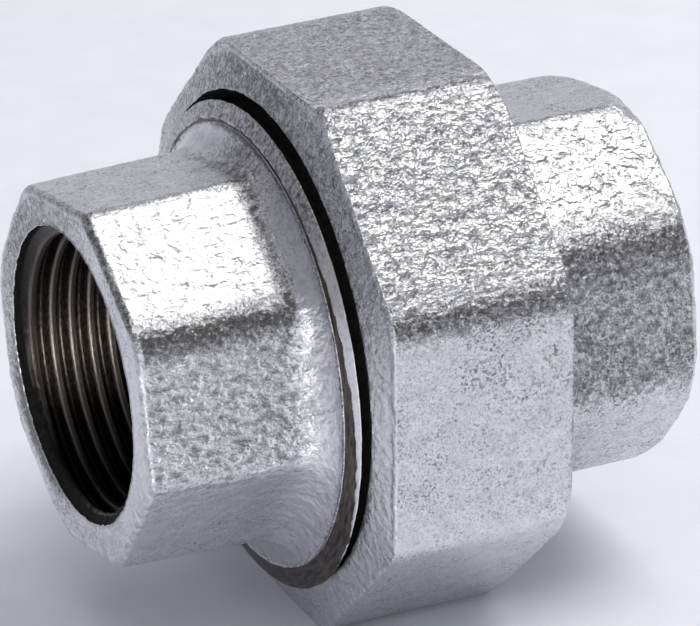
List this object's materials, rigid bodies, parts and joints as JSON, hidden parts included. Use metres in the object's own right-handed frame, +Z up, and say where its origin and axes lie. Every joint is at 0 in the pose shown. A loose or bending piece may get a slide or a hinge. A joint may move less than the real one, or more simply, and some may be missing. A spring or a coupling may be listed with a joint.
{
  "type": "threaded pipe union",
  "caption": "Screwed pipe union: a threaded body half and a swivelling tailpiece, drawn together on a flat sealing ring by an octagonal nut.",
  "frame": {"origin": "on the pipe axis, midway between the two end faces", "axes": "+X along the pipe axis from the body half to the tailpiece, +Z up, the normal of a nut flat, so that the fitting lies on the nut's opposite flat"},
  "size_m": [0.052, 0.0494, 0.0494],
  "materials": {
    "galvanised_body": "hot-dip galvanised cast skin, dark machined threads",
    "galvanised_nut": "hot-dip galvanised cast skin, coarse orange-peel flats",
    "galvanised_tail": "hot-dip galvanised cast skin, dark machined threads",
    "ring_rubber": "matt black rubber"
  },
  "bodies": {
    "body_half": {"body_half": "galvanised_body"},
    "ring": {"sealing_ring": "ring_rubber"},
    "nut": {"union_nut": "galvanised_nut"},
    "tail": {"tailpiece": "galvanised_tail"}
  },
  "joints": [
    {"name": "union_travel", "type": "slide", "parent": "body_half", "child": "ring", "axis": [1, 0, 0], "range_m": [0, 0.00693]},
    {"name": "nut_turn", "type": "hinge", "parent": "ring", "child": "nut", "pos_m": [0, 0, 0], "axis": [1, 0, 0], "range_deg": [0, 1080]},
    {"name": "tail_swivel", "type": "hinge", "parent": "ring", "child": "tail", "pos_m": [0, 0, 0], "axis": [1, 0, 0], "continuous": true}
  ],
  "couplings": [
    {"joint": "union_travel", "follows": "nut_turn", "m_per_rad": 0.00036749}
  ]
}
